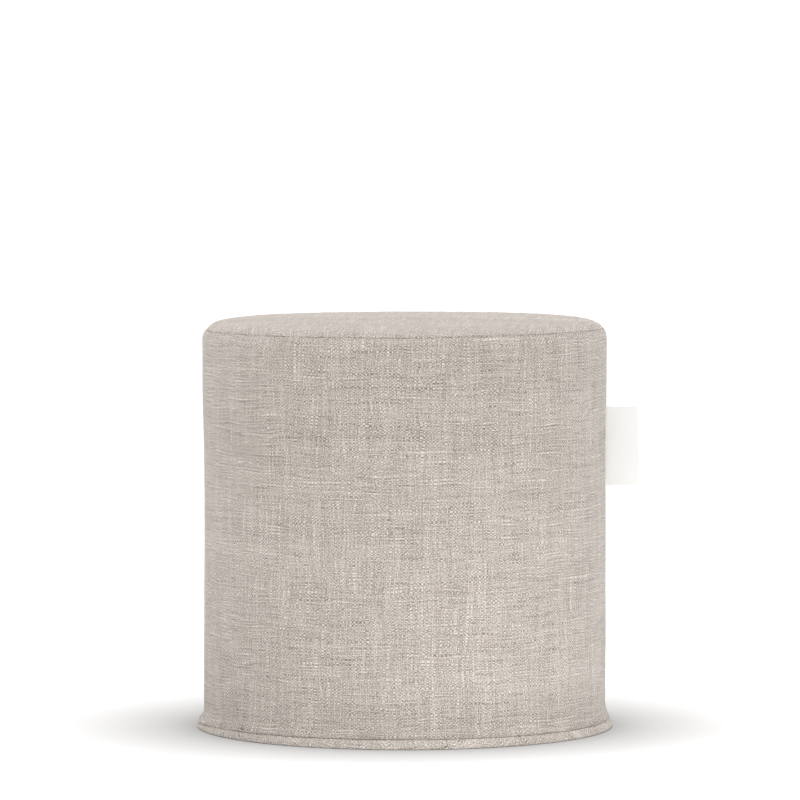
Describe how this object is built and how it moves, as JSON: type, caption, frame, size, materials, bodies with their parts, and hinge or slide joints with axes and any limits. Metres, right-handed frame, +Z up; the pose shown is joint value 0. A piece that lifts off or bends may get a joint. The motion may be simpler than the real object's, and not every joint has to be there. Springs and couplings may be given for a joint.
{
  "type": "outdoor pouf",
  "caption": "Round drum pouf in slubby outdoor cloth, filled and free-standing, with plain top and base seams and a bare side label.",
  "frame": {"origin": "centre of the flat base, on the floor", "axes": "+Z up along the drum's axis; +X towards the side seam and its label"},
  "size_m": [0.4418, 0.4151, 0.4085],
  "materials": {
    "side_cloth": "slubby plain weave, matt, beige-grey melange",
    "top_cloth": "slubby plain weave, matt, beige-grey melange",
    "base_cloth": "slubby plain weave, matt, beige-grey melange",
    "label_weave": "fine woven label tape, ivory, bare"
  },
  "bodies": {
    "root": {"side_panel": "side_cloth", "top_panel": "top_cloth", "base_panel": "base_cloth", "side_label": "label_weave"}
  },
  "joints": []
}
